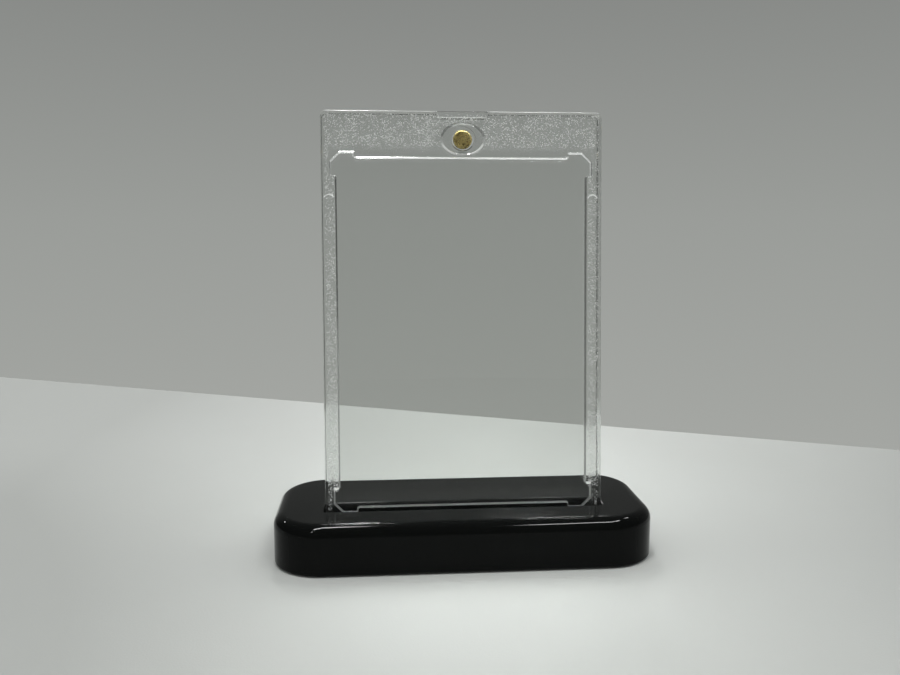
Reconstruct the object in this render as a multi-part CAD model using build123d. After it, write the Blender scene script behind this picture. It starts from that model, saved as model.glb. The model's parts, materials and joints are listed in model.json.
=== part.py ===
from build123d import *
from math import cos, radians, sin, sqrt
import os

# A clear two-part case for one trading card, leaning back in the slot of a black stand.
# Millimetres and degrees. X runs to the right, Y to the back and Z up.
# The origin is in the middle of the stand's footprint, on the surface that it stands on.

# The card that the case is made for
card_width = 63.5
card_height = 88.9
card_thickness = 0.9

# Card pocket, in the front face of the back panel
card_gap = 0.45  # room beside the card, on each of its four edges
card_play = 0.1  # room in front of the card
pocket_slope = 0.35  # how much further out the pocket's wall is at its mouth
relief_step = 1.35  # how far each corner of the pocket steps outwards
relief_across = 5.6  # length of that step along the top and the bottom
relief_down = 5.5  # length of that step along the sides
relief_chamfer = 2.25
pocket_round = 0.5

# Case
side_border = 3.8
top_border = 11.6
bottom_border = 6.0
case_corner_radius = 1.5
case_edge_round = 0.3
lid_thickness = 3.0
back_thickness = 4.4
parting_gap = 0.05

# Thumb notch in the back panel's top edge, where a finger pushes the lid open
notch_width = 13.0
notch_depth = 1.05
notch_slope = 0.1  # how much further out the notch is at the back panel's rear face
notch_round = 0.5

# Magnets, one in each panel, with a glue well round them
magnet_drop = 7.0  # from the case's top to the magnet's middle
magnet_radius = 2.4
magnet_thickness = 1.8
magnet_edge_round = 0.35
magnet_gap = 0.12
glue_well_width = 1.08  # round the magnet's own pocket
glue_well_depth = 0.3
dish_width = 10.9
dish_height = 8.0
dish_depth = 0.25
dish_slope = 0.3

# Marks that the ejector pins leave in the side borders
ejector_radius = 1.3
ejector_depth = 0.15
ejector_height = 85.3

# Hook hinge at the case's lower edge
pivot_offset = 1.5  # from the parting plane back, and from the case's lower edge up
pivot_radius = 0.8
pivot_gap = 0.06
hook_spread = 40.0
hook_width = 9.0
hook_neck = 0.8
hook_side_gap = 0.2
hook_mouth_gap = 0.1

# Stand
base_margin = 13.25  # how far the stand reaches past each side of the case
base_depth = 41.4
base_height = 13.0
base_corner_radius = 12.8
base_top_round = 3.0
base_lower_round = 0.4
base_wall = 2.0
base_top_wall = 2.0
cavity_round = 1.2

# Slot for the case
lean = 5.0
seat_depth = 5.7  # how much of the case's height is in the slot
slot_from_front = 11.3  # from the stand's front to the slot's front wall, at the stand's top
slot_gap = 0.3  # in front of the case and behind it
slot_side_gap = 0.35
slot_floor_gap = 0.1
slot_wall = 1.6
slot_corner_radius = 0.6
slot_edge_round = 0.45

# Underside
cover_thickness = 1.8
cover_gap = 0.15
cover_edge_round = 0.4
foot_proud = 0.4
foot_seat = 0.6
foot_radius = 4.0
foot_gap = 0.15
foot_edge = 0.25
foot_inset_x = 18.25  # from the stand's outline to the foot's middle
foot_inset_y = 7.5

# Screws through the cover into the stand's bosses
screw_inset_x = 7.75
screw_inset_y = 10.5
screw_radius = 1.25
screw_head_radius = 2.5
screw_tip = 0.8
screw_tip_radius = 0.4
screw_sunk = 0.1
screw_gap = 0.1
thread_gap = 0.03
cross_length = 2.8
cross_width = 0.6
cross_depth = 0.8
boss_radius = 3.0
boss_spare = 0.6  # depth of the pilot hole past the screw's tip
boss_cover = 3.9  # plastic left over the pilot hole

# Steel bars that weigh the stand down, in fences on the cover
bar_inset = 15.25  # from the stand's end to the bar's end
bar_edge = 0.4
fence_gap = 0.1
fence_wall = 0.9
fence_height = 2.0
fence_to_wall = 0.2
fence_to_slot = 0.2
rib_thickness = 1.2
rib_height = 1.9
rib_inset = 12.0  # from the bar's end
rib_gap = 0.1

overrun = 1.0  # how far a cut runs on past the face that it opens
same_place = 1e-6

# Worked out from the above
pocket_depth = card_thickness + card_play
pocket_half_width = card_width / 2 + card_gap
pocket_half_height = card_height / 2 + card_gap
case_width = 2 * (pocket_half_width + side_border)
case_height = 2 * pocket_half_height + top_border + bottom_border
pocket_middle = bottom_border + pocket_half_height
magnet_height = case_height - magnet_drop
ejector_x = pocket_half_width + side_border / 2

base_width = case_width + 2 * base_margin
slot_front = slot_from_front - base_depth / 2
lean_cos = cos(radians(lean))
lean_sin = sin(radians(lean))
seat_z = base_height - seat_depth * lean_cos
seat_y = slot_front + (slot_gap + lid_thickness) / lean_cos - seat_depth * lean_sin
case_at = Pos(0, seat_y, seat_z) * Rot(-lean, 0, 0)

slot_width = case_width + 2 * slot_side_gap
slot_y_front = -(lid_thickness + slot_gap)
slot_y_back = back_thickness + slot_gap
slot_block_low = -(slot_floor_gap + slot_wall)
slot_above = base_height  # the slot's cut runs this far up, well past the stand's top
slot_block_front = (case_at * Pos(0, slot_y_front - slot_wall, slot_block_low)).position.Y
slot_block_back = (case_at * Pos(0, slot_y_back + slot_wall, 0)).position.Y

cavity_width = base_width - 2 * base_wall
cavity_depth = base_depth - 2 * base_wall
cavity_radius = base_corner_radius - base_wall
cavity_top = base_height - base_top_wall
cover_top = foot_proud + cover_thickness

foot_spread_x = base_width - 2 * foot_inset_x
foot_spread_y = base_depth - 2 * foot_inset_y
screw_spread_x = base_width - 2 * screw_inset_x
screw_spread_y = base_depth - 2 * screw_inset_y
screw_z = foot_proud + screw_sunk
screw_head_depth = screw_head_radius - screw_radius
pilot_top = base_height - boss_cover
screw_length = pilot_top - boss_spare - screw_z

bar_length = base_width - 2 * bar_inset
bar_top = cavity_top - rib_height - rib_gap
bar_height = bar_top - cover_top
fence_to_bar = fence_wall + fence_gap
front_bar_ends = (
    fence_to_wall + fence_to_bar - cavity_depth / 2,
    slot_block_front - fence_to_slot - fence_to_bar,
)
rear_bar_ends = (
    slot_block_back + fence_to_slot + fence_to_bar,
    cavity_depth / 2 - fence_to_wall - fence_to_bar,
)


def slab(sketch, y_front, y_back):
    """A sketch drawn in X and Z, given thickness from y_front back to y_back."""
    return extrude(Plane.XZ.offset(-y_back) * sketch, y_back - y_front)


def sloped(front_sketch, y_front, back_sketch, y_back):
    """The solid between two like sketches drawn in X and Z, one in front of the other."""
    front_face = Plane.XZ.offset(-y_front) * front_sketch
    back_face = Plane.XZ.offset(-y_back) * back_sketch
    return loft([back_face, front_face], ruled=True)


def across(radius, length, x, y, z):
    """A cylinder whose axis runs along X."""
    return Pos(x, y, z) * Rot(0, 90, 0) * Cylinder(radius, length)


def span(x0, x1, y0, y1, z0, z1):
    """A box between two corners."""
    size = Box(x1 - x0, y1 - y0, z1 - z0)
    return Pos((x0 + x1) / 2, (y0 + y1) / 2, (z0 + z1) / 2) * size


def four_corners(spread_x, spread_y):
    """The four places of a rectangle, in the order front left, front right, rear left, rear right."""
    return [(sx * spread_x / 2, sy * spread_y / 2) for sy in (-1, 1) for sx in (-1, 1)]


# ---- case ----

def case_outline():
    return Pos(0, case_height / 2) * RectangleRounded(case_width, case_height, case_corner_radius)


def pocket_outline(grow):
    """The card pocket's outline with its stepped corners, moved outwards by grow."""
    inner_x = pocket_half_width + grow
    inner_z = pocket_half_height + grow
    outer_x = inner_x + relief_step
    outer_z = inner_z + relief_step
    step_x = pocket_half_width + relief_step - relief_across - grow
    step_z = pocket_half_height + relief_step - relief_down - grow
    cut = relief_chamfer + (2 - sqrt(2)) * grow
    quarter = [
        (step_x, inner_z),
        (step_x, outer_z),
        (outer_x - cut, outer_z),
        (outer_x, outer_z - cut),
        (outer_x, step_z),
        (inner_x, step_z),
    ]
    upper_left = [(-x, z) for x, z in reversed(quarter)]
    lower_left = [(-x, -z) for x, z in quarter]
    lower_right = [(x, -z) for x, z in reversed(quarter)]
    face = make_face(Polyline(quarter + lower_right + lower_left + upper_left, close=True))
    rounded = [v for v in face.vertices() if is_step_corner(v, step_x, inner_z, inner_x, step_z)]
    return Pos(0, pocket_middle) * fillet(rounded, pocket_round + pocket_slope - grow)


def is_step_corner(vertex, step_x, inner_z, inner_x, step_z):
    """True at the corners of plastic that stand into the pocket beside each relief."""
    x, z = abs(vertex.X), abs(vertex.Y)
    on_top_step = abs(x - step_x) < same_place and abs(z - inner_z) < same_place
    on_side_step = abs(x - inner_x) < same_place and abs(z - step_z) < same_place
    return on_top_step or on_side_step


def notch_outline(grow):
    """The thumb notch, open at the case's top, grown on its sides and floor."""
    width = notch_width + 2 * grow
    depth = notch_depth + grow
    face = Pos(0, case_height) * Rectangle(width, 2 * depth)
    floor_corners = face.vertices().group_by(Axis.Y)[0]
    return fillet(floor_corners, notch_round)


def magnet_seat(y_face, inwards):
    """The pocket and the glue well for one magnet, cut from the face at y_face."""
    mouth = y_face - inwards * overrun
    floor = y_face + inwards * (magnet_thickness + parting_gap)
    well = y_face + inwards * glue_well_depth
    at = Pos(0, magnet_height)
    pocket = slab(at * Circle(magnet_radius + magnet_gap), min(mouth, floor), max(mouth, floor))
    well_radius = magnet_radius + magnet_gap + glue_well_width
    glue_well = slab(at * Circle(well_radius), min(mouth, well), max(mouth, well))
    return pocket + glue_well


def ejector_marks(y_face, inwards):
    """Two shallow round marks in the side borders, cut from the face at y_face."""
    ends = sorted((y_face - inwards * overrun, y_face + inwards * ejector_depth))
    marks = [slab(Pos(sx * ejector_x, ejector_height) * Circle(ejector_radius), *ends) for sx in (-1, 1)]
    return marks[0] + marks[1]


def hook_places():
    return (-hook_spread / 2, hook_spread / 2)


def lid():
    """The clear front panel, with the hooks that it swings on."""
    front, back = -lid_thickness, -parting_gap
    body = slab(case_outline(), front, back)
    body = fillet(body.faces().sort_by(Axis.Y)[0].edges(), case_edge_round)
    at = Pos(0, magnet_height)
    dish_floor = at * Ellipse(dish_width / 2 - dish_slope, dish_height / 2 - dish_slope)
    dish_mouth = at * Ellipse(dish_width / 2 + dish_slope, dish_height / 2 + dish_slope)
    body -= sloped(dish_mouth, front - dish_depth, dish_floor, front + dish_depth)
    body -= magnet_seat(back, -1)
    body -= ejector_marks(back, -1)
    for x in hook_places():
        left, right = x - hook_width / 2, x + hook_width / 2
        low, high = pivot_offset - hook_neck / 2, pivot_offset + hook_neck / 2
        body += span(left, right, -lid_thickness / 2, pivot_offset, low, high)
        body += across(pivot_radius, hook_width, x, pivot_offset, pivot_offset)
    return body


def back_panel():
    """The clear back panel, with the card pocket, the thumb notch and the grooves that the hooks turn in."""
    body = slab(case_outline(), 0, back_thickness)
    body = fillet(body.faces().sort_by(Axis.Y)[-1].edges(), case_edge_round)
    half = case_width / 2 + overrun
    corner = span(-half, half, -overrun, pivot_offset, -overrun, pivot_offset)
    body -= corner - across(pivot_offset, 2 * (half + overrun), 0, pivot_offset, pivot_offset)
    mouth = pocket_slope * (1 + overrun / pocket_depth)
    body -= sloped(pocket_outline(mouth), -overrun, pocket_outline(0), pocket_depth)
    body -= magnet_seat(0, 1)
    steeper = notch_slope * overrun / back_thickness
    notch_end = back_thickness + overrun
    body -= sloped(notch_outline(-steeper), -overrun, notch_outline(notch_slope + steeper), notch_end)
    groove_length = hook_width + 2 * hook_side_gap
    for x in hook_places():
        left, right = x - groove_length / 2, x + groove_length / 2
        high = pivot_offset + hook_neck / 2 + hook_mouth_gap
        body -= across(pivot_radius + pivot_gap, groove_length, x, pivot_offset, pivot_offset)
        body -= span(left, right, -overrun, pivot_offset, -overrun, high)
    return body


def magnet(y_front):
    """A gold-plated disc magnet with its front face at y_front."""
    disc = slab(Pos(0, magnet_height) * Circle(magnet_radius), y_front, y_front + magnet_thickness)
    return fillet(disc.edges(), magnet_edge_round)


# ---- stand ----

def slot_block():
    """The walls and the floor round the slot, before the slot itself is cut, in the case's frame."""
    half = slot_width / 2 + slot_wall
    return span(-half, half, slot_y_front - slot_wall, slot_y_back + slot_wall, slot_block_low, slot_above)


def slot_cut():
    """The slot, in the case's frame."""
    middle = (slot_y_front + slot_y_back) / 2
    outline = RectangleRounded(slot_width, slot_y_back - slot_y_front, slot_corner_radius)
    return extrude(Pos(0, middle, -slot_floor_gap) * outline, slot_above + slot_floor_gap)


def bar_ribs():
    """The ribs under the stand's top that keep the bars down."""
    low = bar_top + rib_gap
    reach = cavity_depth / 2
    ribs = []
    for sx in (-1, 1):
        x = sx * (bar_length / 2 - rib_inset)
        ribs.append(span(x - rib_thickness / 2, x + rib_thickness / 2, -reach, reach, low, base_height))
    return ribs


def stand_shell():
    """The glossy top of the stand, hollow from below."""
    plan = RectangleRounded(base_width, base_depth, base_corner_radius)
    body = extrude(Pos(0, 0, foot_proud) * plan, base_height - foot_proud)
    body = fillet(body.edges().group_by(Axis.Z)[-1], base_top_round)
    body = fillet(body.edges().group_by(Axis.Z)[0], base_lower_round)
    cavity_plan = RectangleRounded(cavity_width, cavity_depth, cavity_radius)
    cavity = extrude(Pos(0, 0, foot_proud) * cavity_plan, cavity_top - foot_proud)
    cavity = fillet(cavity.edges().group_by(Axis.Z)[-1], cavity_round)
    cavity -= case_at * slot_block()
    for x, y in four_corners(screw_spread_x, screw_spread_y):
        cavity -= Pos(x, y, (cover_top + base_height) / 2) * Cylinder(boss_radius, base_height - cover_top)
    for rib in bar_ribs():
        cavity -= rib
    body -= cavity
    for x, y in four_corners(screw_spread_x, screw_spread_y):
        middle = Pos(x, y, (foot_proud + pilot_top) / 2)
        body -= middle * Cylinder(screw_radius + thread_gap, pilot_top - foot_proud)
    body -= case_at * slot_cut()
    slot_rim = body.faces().sort_by(Axis.Z)[-1].inner_wires()[0].edges()
    return fillet(slot_rim, slot_edge_round)


def fence(ends):
    """A low wall on the cover round one bar."""
    y, depth = sum(ends) / 2, ends[1] - ends[0]
    inner_x, inner_y = bar_length / 2 + fence_gap, depth / 2 + fence_gap
    outer_x, outer_y = inner_x + fence_wall, inner_y + fence_wall
    ring = Rectangle(2 * outer_x, 2 * outer_y) - Rectangle(2 * inner_x, 2 * inner_y)
    return extrude(Pos(0, y, cover_top) * ring, fence_height)


def stand_cover():
    """The plate that closes the stand from below."""
    plan = RectangleRounded(cavity_width - 2 * cover_gap, cavity_depth - 2 * cover_gap, cavity_radius - cover_gap)
    body = extrude(Pos(0, 0, foot_proud) * plan, cover_thickness)
    body = fillet(body.edges().group_by(Axis.Z)[0], cover_edge_round)
    body += fence(front_bar_ends)
    body += fence(rear_bar_ends)
    for x, y in four_corners(foot_spread_x, foot_spread_y):
        body -= Pos(x, y, foot_proud + foot_seat / 2) * Cylinder(foot_radius + foot_gap, foot_seat)
    for x, y in four_corners(screw_spread_x, screw_spread_y):
        body -= Pos(x, y, foot_proud) * screw_hole()
    return body


def screw_hole():
    """A countersunk hole through the cover, with its wide end at the origin."""
    sink = screw_head_depth + screw_sunk
    wide, narrow = screw_head_radius + screw_gap, screw_radius + screw_gap
    cone = Pos(0, 0, sink / 2) * Cone(wide, narrow, sink)
    through = Pos(0, 0, cover_thickness / 2) * Cylinder(narrow, cover_thickness)
    return cone + through


def screw():
    """A countersunk screw with a cross recess, its head at the origin and its tip above."""
    head = Pos(0, 0, screw_head_depth / 2) * Cone(screw_head_radius, screw_radius, screw_head_depth)
    straight = screw_length - screw_tip
    shank = Pos(0, 0, straight / 2) * Cylinder(screw_radius, straight)
    tip = Pos(0, 0, straight + screw_tip / 2) * Cone(screw_radius, screw_tip_radius, screw_tip)
    body = head + shank + tip
    for turn in (0, 90):
        body -= Rot(0, 0, turn) * Box(cross_length, cross_width, 2 * cross_depth)
    return body


def foot():
    """A round rubber foot, from the surface up to its seat in the cover."""
    height = foot_proud + foot_seat
    body = Pos(0, 0, height / 2) * Cylinder(foot_radius, height)
    return chamfer(body.edges().group_by(Axis.Z)[0], foot_edge)


def bar(ends):
    """One steel bar, lying on the cover in its fence."""
    body = span(-bar_length / 2, bar_length / 2, *ends, cover_top, bar_top)
    return chamfer(body.edges().filter_by(Axis.X), bar_edge)


# ---- the sub-parts, each in its own file ----

pieces = {
    "stand_shell": stand_shell(),
    "stand_cover": stand_cover(),
    "front_weight_bar": bar(front_bar_ends),
    "rear_weight_bar": bar(rear_bar_ends),
    "cover_screws": Compound([Pos(x, y, screw_z) * screw() for x, y in four_corners(screw_spread_x, screw_spread_y)]),
    "case_back_panel": case_at * back_panel(),
    "case_lid": case_at * lid(),
    "back_magnet": case_at * magnet(parting_gap),
    "lid_magnet": case_at * magnet(-(magnet_thickness + 2 * parting_gap)),
}
foot_names = ("foot_front_left", "foot_front_right", "foot_rear_left", "foot_rear_right")
for foot_name, (foot_x, foot_y) in zip(foot_names, four_corners(foot_spread_x, foot_spread_y)):
    pieces[foot_name] = Pos(foot_x, foot_y, 0) * foot()

os.makedirs("parts", exist_ok=True)
for name, piece in pieces.items():
    export_step(piece, f"parts/{name}.step")
print(f"{len(pieces)} sub-parts, case {case_width:.1f} x {case_height:.1f} mm, stand {base_width:.1f} mm wide")
print("hinge axis at", case_at * Pos(0, pivot_offset, pivot_offset))
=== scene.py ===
import json
from math import atan2, pi, radians

import bpy
from mathutils import Euler, Matrix, Vector

# Clear two-part display case for one trading card, leaning back in the slot of a glossy black stand.
# Lengths in the dictionaries are millimetres, and mm turns them into Blender's metres.

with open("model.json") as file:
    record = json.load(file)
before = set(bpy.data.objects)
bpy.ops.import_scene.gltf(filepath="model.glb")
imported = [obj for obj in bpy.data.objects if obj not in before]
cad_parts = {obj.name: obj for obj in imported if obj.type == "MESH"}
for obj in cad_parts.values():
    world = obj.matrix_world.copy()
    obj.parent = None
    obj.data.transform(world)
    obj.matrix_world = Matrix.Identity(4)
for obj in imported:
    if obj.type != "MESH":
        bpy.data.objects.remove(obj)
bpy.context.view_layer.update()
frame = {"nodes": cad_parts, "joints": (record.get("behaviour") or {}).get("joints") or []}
nodes = frame["nodes"]
joints = {joint["name"]: joint for joint in frame["joints"]}
mm = 0.001
print("frame loaded with", len(nodes), "nodes")


# the case in its own frame: X across, Y from front to back with 0 on the back panel's front face,
# and Z up along the panels from their lower edge
case = {
    "width": 72.0,
    "height": 107.4,
    "hingeInset": 1.5,  # the hooks' axis lies this far behind the parting plane and above the lower edge
    "frontFace": -3.0,
    "backFace": 4.4,
    "panelFace": (0.02, 0.05),  # middle and half width of the Y range of the back panel's front face
    "innerFaces": (-0.1, 0.12),  # the same for that face and the lid's rear one together
    "pocketHalfWidth": 32.2,
    "pocketHalfHeight": 44.9,
    "pocketMiddle": 50.9,
    "pocketDepth": 1.0,
    "reliefReach": 1.75,  # the pocket's corners step out this far, their slope included
    "reliefLength": 4.3,
    "reliefLedge": 4.5,  # the corners' ledges lie this far inside the pocket's ends
    "magnetHeight": 100.4,
    "dishHalfWidth": 5.45,
    "dishHalfHeight": 4.0,
    "dishDepth": 0.25,
    "notchHalfWidth": 6.5,
    "notchDepth": 1.05,
    "ejectorAcross": 34.1,
    "ejectorHeight": 85.3,
    "ejectorRadius": 1.3,
}
pocketLow = case["pocketMiddle"] - case["pocketHalfHeight"]
pocketTop = case["pocketMiddle"] + case["pocketHalfHeight"]

liftAxis = Vector(joints["case_lift"]["axis"])
lean = atan2(liftAxis.y, liftAxis.z)
hinge = Vector(joints["lid_open"]["pos_m"])
tilt = Matrix.Rotation(-lean, 3, "X")
caseOrigin = hinge - tilt @ Vector((0, case["hingeInset"], case["hingeInset"])) * mm


def newTree(name):
    mat = bpy.data.materials.new(name)
    mat.use_nodes = True
    mat.node_tree.nodes.clear()
    return mat, mat.node_tree


def add(tree, kind, inputs=None, **settings):
    # a node with its settings, its input values and its incoming links in one go
    node = tree.nodes.new(kind)
    for key, value in settings.items():
        setattr(node, key, value)
    for key, value in (inputs or {}).items():
        if isinstance(value, bpy.types.NodeSocket):
            tree.links.new(value, node.inputs[key])
        else:
            node.inputs[key].default_value = value
    return node


def maths(tree, operation, *values, clamp=False):
    node = add(tree, "ShaderNodeMath", dict(enumerate(values)), operation=operation, use_clamp=clamp)
    return node.outputs[0]


def inTurn(tree, operation, values):
    result, *others = values
    for value in others:
        result = maths(tree, operation, result, value)
    return result


def plus(tree, *values):
    return inTurn(tree, "ADD", values)


def times(tree, *values):
    return inTurn(tree, "MULTIPLY", values)


def largest(tree, *values):
    return inTurn(tree, "MAXIMUM", values)


def smallest(tree, *values):
    return inTurn(tree, "MINIMUM", values)


def minus(tree, first, second):
    return maths(tree, "SUBTRACT", first, second)


def absolute(tree, value):
    return maths(tree, "ABSOLUTE", value)


def isBelow(tree, value, limit):
    return maths(tree, "LESS_THAN", value, limit)


def isAbove(tree, value, limit):
    return maths(tree, "GREATER_THAN", value, limit)


def isNear(tree, value, middle, halfWidth):
    return maths(tree, "COMPARE", value, middle, halfWidth)


def distance(tree, across, up):
    return maths(tree, "SQRT", plus(tree, times(tree, across, across), times(tree, up, up)))


def ramp(tree, value, fromLow, fromHigh, toLow=0.0, toHigh=1.0, smooth=True):
    node = add(
        tree, "ShaderNodeMapRange",
        {"Value": value, "From Min": fromLow, "From Max": fromHigh, "To Min": toLow, "To Max": toHigh},
        interpolation_type="SMOOTHSTEP" if smooth else "LINEAR",
    )
    return node.outputs["Result"]


def blend(tree, factor, first, second):
    # Mix gives its colour sockets the same names as its number sockets, so they are set by place
    return add(tree, "ShaderNodeMix", {0: factor, 6: first, 7: second}, data_type="RGBA").outputs[2]


def separate(tree, point):
    return add(tree, "ShaderNodeSeparateXYZ", {0: point}).outputs


def objectPoint(tree):
    # object coordinates in millimetres
    coords = add(tree, "ShaderNodeTexCoord").outputs["Object"]
    return add(tree, "ShaderNodeVectorMath", {0: coords, "Scale": 1 / mm}, operation="SCALE").outputs[0]


def casePoint(tree):
    # object coordinates in millimetres, in the case's own frame
    coords = add(tree, "ShaderNodeTexCoord").outputs["Object"]
    mapping = add(
        tree, "ShaderNodeMapping",
        {"Vector": coords, "Location": caseOrigin, "Rotation": (-lean, 0, 0), "Scale": (mm, mm, mm)},
        vector_type="TEXTURE",
    )
    return mapping.outputs[0]


def noise(tree, point, scale, detail, roughness):
    node = add(
        tree, "ShaderNodeTexNoise",
        {"Vector": point, "Scale": scale, "Detail": detail, "Roughness": roughness},
    )
    return node.outputs["Fac"]


def bump(tree, height, depth, normal=None):
    inputs = {"Height": height, "Distance": depth * mm, "Strength": 1.0}
    if normal is not None:
        inputs["Normal"] = normal
    return add(tree, "ShaderNodeBump", inputs).outputs[0]


def output(tree, shader):
    add(tree, "ShaderNodeOutputMaterial", {"Surface": shader})


# clear plastic of the lid and the back panel
clear = {
    "colour": (0.94, 0.95, 0.94, 1.0),
    "shade": (0.93, 0.94, 0.935, 1.0),  # of a lamp's light that passes through a face
    "ior": 1.49,
    "roughness": (0.012, 0.032),  # of wiped and of smudged places
    "smudge": (0.35, 0.75),  # the noise's values for these two
    "smudgeNoise": (0.12, 4.0, 0.6),  # every noise has its scale, detail and roughness
    "waveNoise": (0.045, 1.0, 0.5),  # the moulded faces aren't quite flat
    "waveDepth": 0.02,
}

# the pebbled borders; ramps are given as from, to, and then the value at each end
grain = {
    "scale": 3.3,  # grains per millimetre
    "bead": (0.55, 0.1),  # a grain rises over this part of its cell, from the outside in
    "depth": 0.02,
    "roughness": 0.02,
    "crest": (0.46, 0.22),  # and its painted highlight starts and is full here
    "paintedHighlight": 0.95,  # how strongly a crest is painted matt white, a painted highlight for the grain's sparkle
    "pick": (0.88, 1.22),  # fewer grains get the painted highlight the higher these are
    "patchNoise": (0.45, 2.0, 0.5),  # the grains that do gather in patches
    "patch": (0.35, 0.65, 0.35, 1.0),
    "low": (19.0, 13.0),  # over and behind the stand the side borders' grain shows more, in painted highlight and painted shade
    "more": 0.2,
    "paintedShade": 0.75,
    "sides": 0.85,  # the side borders are grained less than the top one
    "back": 0.5,  # and the back panel less than the lid
    "skin": 0.12,  # a grain lies this near to the moulding's outer face
    "rim": 0.7,  # smooth band along the outline
    "fade": 0.25,  # the grain fades out over this width
    "besidePocket": 0.2,  # smooth bands beside and above the pocket
    "abovePocket": (1.9, 3.1),
    "belowPocket": (-3.0, 0.0),
    "roundDish": (1.0, 1.08),  # in radii of the dish
    "shade": (-4.0, -8.0, 0.0, 0.07),  # painted shade: the side borders are tinted darker, by height from the magnet
}

# the walls of the card pocket, from its lip on the back panel's front face to its floor, with painted shade
# and painted highlights on them
pocket = {
    "margin": 0.02,  # left out at the lip and at the floor
    "roughness": 0.08,  # the walls are spark-eroded
    "topShade": 0.4,  # painted shade on the walls along the top, the sides and the bottom
    "sideShade": 0.8,
    "lowShade": 0.93,
    "lip": 0.25,  # how deep the walls' lip reaches
    "dull": 0.8,  # the low walls, and the top ones behind the lip, are this much rougher
    "lipHighlight": 0.22,  # the lip has a faint painted highlight low down
    "ledgeHighlight": 0.9,  # and the edges of the two low ledges a strong one
    "ledgeHeight": 0.65,
    "ledgeInset": 0.15,
}

# painted highlights and painted shade along other edges, the colour of all painted shade, and the rim's
# relief
edges = {
    # colour of all painted shade on the clear plastic
    "paintedShade": (0.16, 0.165, 0.16, 1.0),
    "shadeOnlyBelow": 0.3,  # painted shade shows only where the painted highlight is weaker than this
    "rimWidth": 0.32,
    "rimDepth": 0.012,
    "rimRoughness": 0.03,
    "topFull": 0.08,  # the round along the front's top has its full painted highlight from here up
    "topHighlight": 0.6,
    "notchFade": 0.8,  # its painted highlight starts over this width beside the notch
    "notchInset": 0.3,
    "notchHighlight": (0.15, 0.15),  # middle and half width of the painted highlight line and the painted shade line under the foot of the notch
    "notchShade": (0.5, 0.14),
    "notchHighlightStrength": 0.45,
    "boreRadius": (2.62, 2.95),  # of the painted highlight ring and the painted shade ring round the magnet
    "boreWidth": 0.16,
    "boreHighlight": (1.6, -0.6, 0.3, 1.0),  # by height from the magnet
    "boreShade": (-1.4, -2.0),
    "boreHighlightStrength": 0.4,
    "dishOutline": 0.06,  # the dish's wall lies this near to its outline, in radii of the dish
    "dishHighlight": (0.0, -2.0, 0.0, 0.5),  # the wall's lower part has a painted highlight, by height from the magnet
    "dishMiddle": (0.8, 3.0, 0.15, 1.0),  # but less in the middle
    "dishShade": (0.3, 1.0),  # its upper part has painted shade
    "dishLeft": (-1.0, -3.0, 0.55, 0.8),  # and more so on the left
    "faceMargin": 0.01,  # a depth this near to the dish's floor counts as the floor
    "floorReach": 0.03,
    "ringWidth": 0.16,  # of the rings that the ejector pins leave
    "ringTop": (0.1, 0.7),  # the painted highlights lie on their upper halves
    "ringHighlight": (-1.0, 1.0, 0.3, 0.7),  # from left to right
}


def rimDistance(tree, x, z):
    # how far a place lies inside the case's outline
    toSide = minus(tree, case["width"] / 2, absolute(tree, x))
    toTop = minus(tree, case["height"], z)
    return smallest(tree, toSide, toTop, z)


def topEdge(tree, x, y, z):
    # painted highlight along the rounded top edge of the front beside the thumb notch, then painted shade
    # along it in front of the notch
    high = ramp(tree, minus(tree, case["height"], z), edges["rimWidth"], edges["topFull"])
    edge = times(tree, high, isBelow(tree, y, case["frontFace"] + edges["rimWidth"]))
    side = absolute(tree, x)
    beside = ramp(tree, side, case["notchHalfWidth"], case["notchHalfWidth"] + edges["notchFade"])
    before = isBelow(tree, side, case["notchHalfWidth"])
    return times(tree, edge, beside), times(tree, edge, before)


def notchFoot(tree, x, y, z):
    # painted lines along the back panel's edge at the foot of the notch, first a painted highlight and then
    # painted shade under it
    under = minus(tree, case["height"] - case["notchDepth"], z)
    inside = isBelow(tree, absolute(tree, x), case["notchHalfWidth"] - edges["notchInset"])
    inside = times(tree, inside, isNear(tree, y, *case["panelFace"]))
    highlight = times(tree, isNear(tree, under, *edges["notchHighlight"]), inside)
    paintedShade = times(tree, isNear(tree, under, *edges["notchShade"]), inside)
    return highlight, paintedShade


def boreRings(tree, x, y, up):
    # painted rings for the mouth of the magnet's bore, seen through the dish: a painted highlight, and
    # painted shade under it
    floor = isNear(tree, y, case["frontFace"] + case["dishDepth"], edges["floorReach"])
    rings = []
    for middle in edges["boreRadius"]:
        off = absolute(tree, minus(tree, distance(tree, x, up), middle))
        rings.append(times(tree, floor, ramp(tree, off, edges["boreWidth"], edges["boreWidth"] / 2)))
    highlight = times(tree, rings[0], ramp(tree, up, *edges["boreHighlight"]))
    paintedShade = times(tree, rings[1], ramp(tree, up, *edges["boreShade"]))
    return highlight, paintedShade


def dishRadius(tree, x, up):
    # 1 on the outline of the oval dish round the magnet, less inside it and more outside
    across = maths(tree, "DIVIDE", x, case["dishHalfWidth"])
    upwards = maths(tree, "DIVIDE", up, case["dishHalfHeight"])
    return distance(tree, across, upwards)


def dishWall(tree, x, y, up):
    # the low wall round the dish, then its painted highlight and its painted shade
    off = absolute(tree, minus(tree, dishRadius(tree, x, up), 1.0))
    high = isBelow(tree, y, case["frontFace"] + case["dishDepth"] - edges["faceMargin"])
    wall = times(tree, isBelow(tree, off, edges["dishOutline"]), high)
    highlightBelow = ramp(tree, up, *edges["dishHighlight"])
    highlightBelow = times(tree, highlightBelow, ramp(tree, absolute(tree, x), *edges["dishMiddle"]))
    shadeAbove = times(tree, ramp(tree, x, *edges["dishLeft"]), ramp(tree, up, *edges["dishShade"]))
    return wall, times(tree, wall, highlightBelow), times(tree, wall, shadeAbove)


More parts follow.
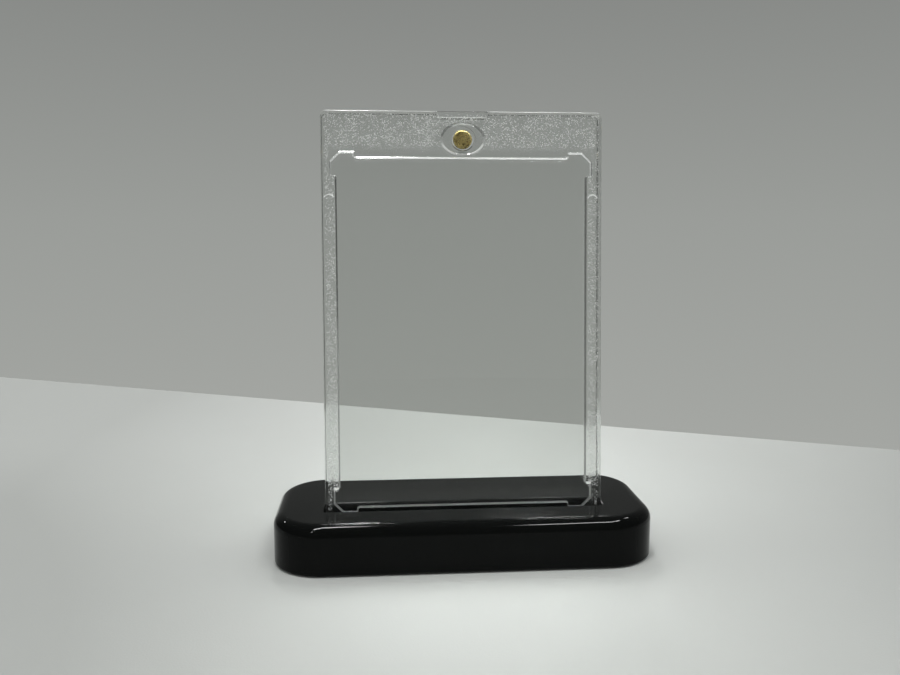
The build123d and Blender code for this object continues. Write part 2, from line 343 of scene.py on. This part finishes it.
def ejectorHighlights(tree, x, y, z):
    # painted highlights on the two ejector marks
    across = minus(tree, absolute(tree, x), case["ejectorAcross"])
    up = minus(tree, z, case["ejectorHeight"])
    off = absolute(tree, minus(tree, distance(tree, across, up), case["ejectorRadius"]))
    ring = ramp(tree, off, edges["ringWidth"], edges["ringWidth"] / 2)
    ring = times(tree, ring, ramp(tree, up, *edges["ringTop"]), isNear(tree, y, *case["innerFaces"]))
    return times(tree, ring, ramp(tree, x, *edges["ringHighlight"]))


def pebbleMask(tree, x, y, z, up):
    # 1 on the borders' outer faces, 0 in the window, round the magnet and along the rim
    abovePocket = ramp(tree, z, *(pocketTop + band for band in grain["abovePocket"]))
    fromMiddle = absolute(tree, minus(tree, z, case["pocketMiddle"]))
    stepped = isAbove(tree, fromMiddle, case["pocketHalfHeight"] - case["reliefLength"])
    smoothTo = plus(tree, times(tree, stepped, case["reliefReach"]),
                    case["pocketHalfWidth"] + grain["besidePocket"])
    beside = minus(tree, absolute(tree, x), smoothTo)
    beside = ramp(tree, beside, 0.0, grain["fade"], 0.0, grain["sides"])
    beside = times(tree, beside, ramp(tree, z, *(pocketLow + band for band in grain["belowPocket"])))
    outside = largest(tree, abovePocket, beside)
    inside = ramp(tree, rimDistance(tree, x, z), grain["rim"], grain["rim"] + grain["fade"])
    offDish = ramp(tree, dishRadius(tree, x, up), *grain["roundDish"])
    front = isBelow(tree, y, case["frontFace"] + grain["skin"])
    back = isAbove(tree, y, case["backFace"] - grain["skin"])
    faces = largest(tree, front, times(tree, back, grain["back"]))
    return times(tree, faces, outside, inside, offDish)


def pebbles(tree, point, z, mask):
    # the grain's relief, and the painted highlight on its crests and, low down, painted shade
    cells = add(tree, "ShaderNodeTexVoronoi", {"Vector": point, "Scale": grain["scale"]}).outputs
    beads = ramp(tree, cells["Distance"], *grain["bead"])
    patch = ramp(tree, noise(tree, point, *grain["patchNoise"]), *grain["patch"])
    chance = add(tree, "ShaderNodeSeparateColor", {0: cells["Color"]}).outputs[0]
    nearStand = ramp(tree, z, *grain["low"])
    chance = plus(tree, chance, times(tree, nearStand, grain["more"]), patch)
    picked = ramp(tree, chance, *grain["pick"])
    crests = times(tree, ramp(tree, cells["Distance"], *grain["crest"]), mask)
    # painted highlight on the picked crests, painted shade on the others low down
    paintedHighlight = times(tree, crests, picked, grain["paintedHighlight"])
    paintedShade = times(tree, crests, minus(tree, 1.0, picked), nearStand, grain["paintedShade"])
    return beads, paintedHighlight, paintedShade


def pocketWalls(tree, x, y, z):
    # 1 on the card pocket's walls, 0 on its floor and everywhere else
    reach = case["reliefReach"]
    tall = absolute(tree, minus(tree, z, case["pocketMiddle"]))
    inX = isBelow(tree, absolute(tree, x), case["pocketHalfWidth"] + reach)
    inZ = isBelow(tree, tall, case["pocketHalfHeight"] + reach)
    behindLip = isAbove(tree, y, pocket["margin"])
    beforeFloor = isBelow(tree, y, case["pocketDepth"] - pocket["margin"])
    return times(tree, inX, inZ, behindLip, beforeFloor)


def wallShades(tree, x, y, z, walls):
    # painted shade on the pocket's walls, how dull they are, and the painted highlight on the lip and the two
    # ledges low down
    atTop = isAbove(tree, z, pocketTop - case["reliefLength"])
    atFoot = isBelow(tree, z, pocketLow + case["reliefLength"])
    lip = isBelow(tree, y, pocket["lip"])
    deepTop = times(tree, atTop, minus(tree, 1.0, lip))
    paintedShade = plus(tree, times(tree, atTop, pocket["topShade"] - pocket["sideShade"]),
                times(tree, atFoot, pocket["lowShade"] - pocket["sideShade"]), pocket["sideShade"])
    paintedShade = times(tree, walls, largest(tree, paintedShade, times(tree, deepTop, pocket["lowShade"])))
    dull = times(tree, walls, largest(tree, atFoot, deepTop))
    lipHighlight = times(tree, walls, atFoot, lip, pocket["lipHighlight"])
    halfHeight = pocket["ledgeHeight"] / 2
    halfReach = case["reliefReach"] / 2
    ledge = isNear(tree, z, pocketLow + case["reliefLedge"] + halfHeight, halfHeight)
    along = isNear(tree, absolute(tree, x), case["pocketHalfWidth"] + halfReach,
                   halfReach - pocket["ledgeInset"])
    ledgeHighlight = times(tree, ledge, along, isNear(tree, y, *case["panelFace"]), pocket["ledgeHighlight"])
    return paintedShade, dull, largest(tree, lipHighlight, ledgeHighlight)


def clearPlastic():
    mat, tree = newTree("clear_plastic_finish")
    point = casePoint(tree)
    x, y, z = separate(tree, point)
    up = minus(tree, z, case["magnetHeight"])
    mask = pebbleMask(tree, x, y, z, up)
    beads, paintedGrainHighlight, paintedGrainShade = pebbles(tree, point, z, mask)
    paintedTopHighlight, paintedNotchShade = topEdge(tree, x, y, z)
    notchHighlight, notchShade = notchFoot(tree, x, y, z)
    boreHighlight, boreShade = boreRings(tree, x, y, up)
    dish, dishHighlight, dishShade = dishWall(tree, x, y, up)
    walls = pocketWalls(tree, x, y, z)
    paintedWallShade, dull, paintedWallHighlight = wallShades(tree, x, y, z, walls)

    # painted highlights are matt white that lets no light through, and painted shade tints what passes
    paintedHighlight = largest(
        tree, paintedGrainHighlight, times(tree, paintedTopHighlight, edges["topHighlight"]), ejectorHighlights(tree, x, y, z), dishHighlight,
        paintedWallHighlight, times(tree, notchHighlight, edges["notchHighlightStrength"]), times(tree, boreHighlight, edges["boreHighlightStrength"]),
    )
    # painted shade on the side borders
    paintedBorderShade = times(tree, mask, ramp(tree, up, *grain["shade"]))
    paintedShade = largest(tree, paintedNotchShade, paintedWallShade, notchShade, boreShade, dishShade, paintedBorderShade, paintedGrainShade)
    paintedShade = times(tree, paintedShade, isBelow(tree, paintedHighlight, edges["shadeOnlyBelow"]))

    rim = ramp(tree, rimDistance(tree, x, z), edges["rimWidth"], 0.0)
    wave = noise(tree, point, *clear["waveNoise"])
    normal = bump(tree, wave, clear["waveDepth"])
    normal = bump(tree, times(tree, beads, mask), grain["depth"], normal)
    normal = bump(tree, times(tree, beads, rim), edges["rimDepth"], normal)
    smudge = noise(tree, point, *clear["smudgeNoise"])
    rough = plus(
        tree, ramp(tree, smudge, *clear["smudge"], *clear["roughness"]),
        times(tree, rim, edges["rimRoughness"]), times(tree, mask, grain["roughness"]),
        times(tree, largest(tree, walls, dish), pocket["roughness"]), times(tree, dull, pocket["dull"]),
    )
    plastic = add(
        tree, "ShaderNodeBsdfPrincipled",
        {"Base Color": blend(tree, paintedShade, clear["colour"], edges["paintedShade"]), "Roughness": rough,
         "IOR": clear["ior"], "Transmission Weight": minus(tree, 1.0, paintedHighlight), "Normal": normal},
    )
    lampPath = add(tree, "ShaderNodeLightPath").outputs["Is Shadow Ray"]
    letThrough = add(tree, "ShaderNodeBsdfTransparent", {"Color": clear["shade"]})
    mixed = add(tree, "ShaderNodeMixShader", {0: lampPath, 1: plastic.outputs[0], 2: letThrough.outputs[0]})
    output(tree, mixed.outputs[0])
    return mat


# glossy black of the stand
gloss = {
    "colour": (0.0040, 0.0044, 0.0042, 1.0),
    "dustColour": (0.02, 0.021, 0.02, 1.0),
    "dust": (0.66, 0.78),  # the noise's values where specks start and are full
    "dustNoise": (3.0, 3.0, 0.7),
    "roughness": (0.03, 0.07),  # of wiped and of smudged places
    "smudge": (0.35, 0.7),
    "smudgeNoise": (0.08, 4.0, 0.6),
    "specular": 0.075,
    "rippleNoise": (0.25, 1.0, 0.5),
    "rippleDepth": 0.004,
}


def glossyBlack():
    mat, tree = newTree("gloss_black_finish")
    point = objectPoint(tree)
    specks = noise(tree, point, *gloss["dustNoise"])
    dust = ramp(tree, specks, *gloss["dust"])
    smudge = noise(tree, point, *gloss["smudgeNoise"])
    ripple = noise(tree, point, *gloss["rippleNoise"])
    skin = add(
        tree, "ShaderNodeBsdfPrincipled",
        {"Base Color": blend(tree, dust, gloss["colour"], gloss["dustColour"]),
         "Roughness": ramp(tree, smudge, *gloss["smudge"], *gloss["roughness"]),
         "Specular IOR Level": gloss["specular"], "Normal": bump(tree, ripple, gloss["rippleDepth"])},
    )
    output(tree, skin.outputs[0])
    return mat


# the plainer finishes underneath and inside
plain = {
    "satin_black": {
        "colour": (0.012, 0.012, 0.013, 1), "darker": (0.008, 0.008, 0.009, 1),
        "roughness": (0.42, 0.58), "grainNoise": (3.0, 2.0, 0.6), "grainDepth": 0.02},
    "plain_steel": {
        "colour": (0.52, 0.51, 0.49, 1), "darker": (0.4, 0.39, 0.37, 1),
        "roughness": (0.3, 0.46), "grainNoise": (1.2, 2.0, 0.6), "grainDepth": 0.01, "metallic": 1.0,
        "stretch": (0.15, 4, 4)},  # drawn along X
    "black_steel": {
        "colour": (0.03, 0.03, 0.032, 1), "darker": (0.02, 0.02, 0.022, 1),
        "roughness": (0.27, 0.43), "grainNoise": (4.0, 2.0, 0.6), "grainDepth": 0.01, "metallic": 0.7},
    "foot_rubber": {
        "colour": (0.018, 0.018, 0.018, 1), "darker": (0.011, 0.011, 0.011, 1),
        "roughness": (0.74, 0.86), "grainNoise": (5.0, 2.0, 0.6), "grainDepth": 0.02},
    "gold_plate": {
        "colour": (0.92, 0.76, 0.34, 1), "darker": (0.66, 0.53, 0.2, 1),
        "roughness": (0.2, 0.4), "grainNoise": (3.0, 2.0, 0.6), "grainDepth": 0.03, "metallic": 1.0},
}
blotchNoise = (0.2, 3.0, 0.5)
midNoise = (0.3, 0.7)  # most of a noise's values lie between these


def grained(name, colour, darker, roughness, grainNoise, grainDepth, metallic=0.0, stretch=(1, 1, 1)):
    # a colour that drifts a little towards a darker one, with a grain in roughness and height
    mat, tree = newTree(name)
    point = objectPoint(tree)
    drawn = add(tree, "ShaderNodeVectorMath", {0: point, 1: stretch}, operation="MULTIPLY").outputs[0]
    blotch = noise(tree, point, *blotchNoise)
    mixed = blend(tree, ramp(tree, blotch, *midNoise), colour, darker)
    relief = noise(tree, drawn, *grainNoise)
    skin = add(
        tree, "ShaderNodeBsdfPrincipled",
        {"Base Color": mixed, "Roughness": ramp(tree, relief, *midNoise, *roughness),
         "Metallic": metallic, "Normal": bump(tree, relief, grainDepth)},
    )
    output(tree, skin.outputs[0])
    return mat


finishes = {"clear_plastic": clearPlastic(), "gloss_black": glossyBlack()}
for name, look in plain.items():
    finishes[name] = grained(name + "_finish", **look)
for node in nodes.values():
    for slot in node.material_slots:
        if slot.material and slot.material.name in finishes:
            slot.material = finishes[slot.material.name]
print("finishes made:", ", ".join(finishes))


# the photograph's view
view = {
    "place": (-20.73, -221.02, 87.8),
    "turn": (81.975, -0.031, -4.54),  # degrees
    "lens": 34.0,
    "sensor": 36.0,
    "pixels": (900, 675),
    "clip": (10.0, 30000.0),
}


def makeCamera():
    data = bpy.data.cameras.new("camera")
    data.lens = view["lens"]
    data.sensor_width = view["sensor"]
    data.clip_start, data.clip_end = [reach * mm for reach in view["clip"]]
    camera = bpy.data.objects.new("camera", data)
    camera.location = Vector(view["place"]) * mm
    camera.rotation_euler = Euler([radians(angle) for angle in view["turn"]])
    bpy.context.collection.objects.link(camera)
    bpy.context.scene.camera = camera


def onFloor(pixel):
    # the place on the surface, z = 0, that a pixel of the photograph shows
    focal = view["lens"] / view["sensor"] * view["pixels"][0]
    ray = Vector((pixel[0] - view["pixels"][0] / 2, view["pixels"][1] / 2 - pixel[1], -focal))
    ray.rotate(Euler([radians(angle) for angle in view["turn"]]))
    start = Vector(view["place"]) * mm
    return start - ray * (start.z / ray.z)


makeCamera()
print("camera placed")


# pale table under and behind the stand, with a painted pool of light
table = {
    "backLeft": (0, 377),  # pixels of the table's back edge
    "backRight": (900, 450),
    "reach": 1500.0,  # how far the table runs on past the view
    "colour": (0.68, 0.702, 0.68, 1.0),
    "mottle": (0.665, 0.685, 0.662, 1.0),
    "mottleNoise": (0.02, 3.0, 0.5),
    "mottleFrom": (0.35, 0.65),
    # the colour where the painted pool of light has faded out
    "outer": (0.39, 0.401, 0.387, 1.0),
    "poolMiddle": (17.0, 100.0),
    "poolReach": 156.0,  # the painted pool of light has faded out this far to the side of its middle
    "lengthwise": 0.45,  # and less quickly to the front and the back
    "depths": (-40.0, 120.0, 1.25, 0.8),  # but faster in front of the stand than behind it
    "roughness": 0.75,
    "specular": 0.25,
    "toothNoise": (2.0, 3.0, 0.5),
    "toothDepth": 0.03,
    "shade": (-135.0, -50.0, 0.82, 0.0),  # painted shade seen in reflections: in front the pieces mirror a darker table, by Y
    "shadeColour": (0.0, 0.0, 0.0, 1.0),
}


def makeTable():
    left, right = onFloor(table["backLeft"]), onFloor(table["backRight"])
    along = (right - left).normalized()
    towards = Vector((along.y, -along.x, 0))  # the camera
    reach = table["reach"] * mm
    corners = [
        left - along * reach,
        right + along * reach,
        right + along * reach + towards * 2 * reach,
        left - along * reach + towards * 2 * reach,
    ]
    mesh = bpy.data.meshes.new("table")
    mesh.from_pydata(corners, [], [(0, 3, 2, 1)])
    top = bpy.data.objects.new("table", mesh)
    bpy.context.collection.objects.link(top)

    mat, tree = newTree("table_finish")
    point = objectPoint(tree)
    x, y = separate(tree, point)[:2]
    across = minus(tree, x, table["poolMiddle"][0])
    ahead = minus(tree, y, table["poolMiddle"][1])
    off = distance(tree, across, times(tree, ahead, table["lengthwise"]))
    # painted pool of light: the table darkens away from its lit middle
    outOfPool = ramp(tree, off, 0.0, table["poolReach"], smooth=False)
    outOfPool = maths(tree, "MULTIPLY", outOfPool, ramp(tree, y, *table["depths"]), clamp=True)
    cloud = ramp(tree, noise(tree, point, *table["mottleNoise"]), *table["mottleFrom"])
    colour = blend(tree, cloud, table["colour"], table["mottle"])
    tooth = noise(tree, point, *table["toothNoise"])
    paper = add(
        tree, "ShaderNodeBsdfPrincipled",
        {"Base Color": blend(tree, outOfPool, colour, table["outer"]), "Roughness": table["roughness"],
         "Specular IOR Level": table["specular"], "Normal": bump(tree, tooth, table["toothDepth"])},
    )
    # painted shade that only reflections see: the front of the room is dim, so the pieces mirror little of
    # the table there
    mirrored = smallest(tree, add(tree, "ShaderNodeLightPath").outputs["Glossy Depth"], 1.0)
    dimmed = times(tree, ramp(tree, y, *table["shade"]), mirrored)
    paintedShade = add(tree, "ShaderNodeBsdfDiffuse", {"Color": table["shadeColour"]})
    shaded = add(tree, "ShaderNodeMixShader", {0: dimmed, 1: paper.outputs[0], 2: paintedShade.outputs[0]})
    output(tree, shaded.outputs[0])
    mesh.materials.append(mat)


makeTable()
print("table placed")


# plain grey room round the table
room = {
    "heights": (-0.3, 1.0),  # of the directions that the wall's colours run over, as Z
    "wall": (  # place between these two, and colour
        (0.0, (0.385, 0.395, 0.375)),
        (0.23, (0.325, 0.336, 0.32)),
        (0.42, (0.242, 0.25, 0.24)),
        (0.75, (0.16, 0.165, 0.16)),
    ),
    "left": (-0.85, -0.5, 0.25, 1.0),  # the wall is dimmer far to the left and right, by X
    "right": (0.5, 0.85, 1.0, 0.7),
    "front": (0.08, 0.08, 0.08),  # what the pieces mirror of the room in front of them
    "frontFrom": (0.1, -0.2),  # which starts and is full here, as Y
    "bright": (0.95, 0.96, 0.94),  # the ceiling as it shines through the clear plastic
    "brightFrom": (0.5, 0.65),  # the same, as Z
    "fill": (0.55, 0.56, 0.55),  # what matt surfaces gather
}


def makeRoom():
    world = bpy.data.worlds.new("room")
    bpy.context.scene.world = world
    world.use_nodes = True
    tree = world.node_tree
    tree.nodes.clear()
    across, ahead, height = separate(tree, add(tree, "ShaderNodeTexCoord").outputs["Generated"])
    shade = add(tree, "ShaderNodeValToRGB", {0: ramp(tree, height, *room["heights"], smooth=False)})
    stops = shade.color_ramp.elements
    stops.remove(stops[-1])
    for number, (place, colour) in enumerate(room["wall"]):
        stop = stops.new(place) if number else stops[0]
        stop.color = (*colour, 1)
    path = add(tree, "ShaderNodeLightPath").outputs
    mirrored = smallest(tree, path["Glossy Depth"], 1.0)
    lit = times(tree, ramp(tree, across, *room["left"]), ramp(tree, across, *room["right"]))
    overhead = times(tree, ramp(tree, height, *room["brightFrom"]), path["Is Transmission Ray"],
                     minus(tree, 1.0, mirrored))
    colour = blend(tree, overhead, shade.outputs[0], (*room["bright"], 1))
    wall = add(tree, "ShaderNodeBackground", {"Color": colour, "Strength": lit})
    front = add(tree, "ShaderNodeBackground", {"Color": (*room["front"], 1)})
    fill = add(tree, "ShaderNodeBackground", {"Color": (*room["fill"], 1)})
    fromFront = times(tree, mirrored, ramp(tree, ahead, *room["frontFrom"]))
    seen = add(tree, "ShaderNodeMixShader", {0: fromFront, 1: wall.outputs[0], 2: front.outputs[0]})
    direct = largest(tree, path["Is Camera Ray"], path["Is Glossy Ray"], path["Is Transmission Ray"])
    mixed = add(tree, "ShaderNodeMixShader", {0: direct, 1: fill.outputs[0], 2: seen.outputs[0]})
    add(tree, "ShaderNodeOutputWorld", {"Surface": mixed.outputs[0]})


makeRoom()
print("room made")


# ceiling lamps as X and Y of the middle, length, width, turn from X in degrees, and radiance
lamps = {
    "tubes": [
        (-305.0, -240.0, 900.0, 100.0, 60.0, 30.0),
        (600.0, -650.0, 920.0, 100.0, 57.0, 30.0),
        (-110.0, 1530.0, 420.0, 100.0, -67.0, 60.0),
    ],
    "glints": [  # these only show as highlights
        (-305.0, -240.0, 900.0, 100.0, 60.0, 75.0),
        (600.0, -650.0, 920.0, 100.0, 57.0, 75.0),
        (-105.0, 1900.0, 1800.0, 150.0, 92.0, 16.0),
        (745.0, 3705.0, 1790.0, 350.0, 90.0, 15.0),
        (-1880.0, 1880.0, 300.0, 100.0, 45.0, 90.0),
        (-880.0, -1440.0, 300.0, 100.0, 60.0, 90.0),
        (1090.0, 520.0, 300.0, 100.0, 60.0, 60.0),
    ],
    "height": {"tubes": 1800.0, "glints": 1790.0},  # two lamps in one place would hide each other
}


def makeLamps(kind):
    for number, (x, y, length, width, turn, radiance) in enumerate(lamps[kind], 1):
        data = bpy.data.lights.new(f"ceiling_{kind}_{number}", "AREA")
        data.shape = "RECTANGLE"
        data.size, data.size_y = length * mm, width * mm
        data.energy = radiance * pi * data.size * data.size_y
        lamp = bpy.data.objects.new(data.name, data)
        lamp.location = Vector((x, y, lamps["height"][kind])) * mm
        lamp.rotation_euler.z = radians(turn)
        lamp.visible_diffuse = kind == "tubes"
        bpy.context.collection.objects.link(lamp)


makeLamps("tubes")
makeLamps("glints")
bpy.context.scene.view_settings.view_transform = "Standard"
print("lamps placed")
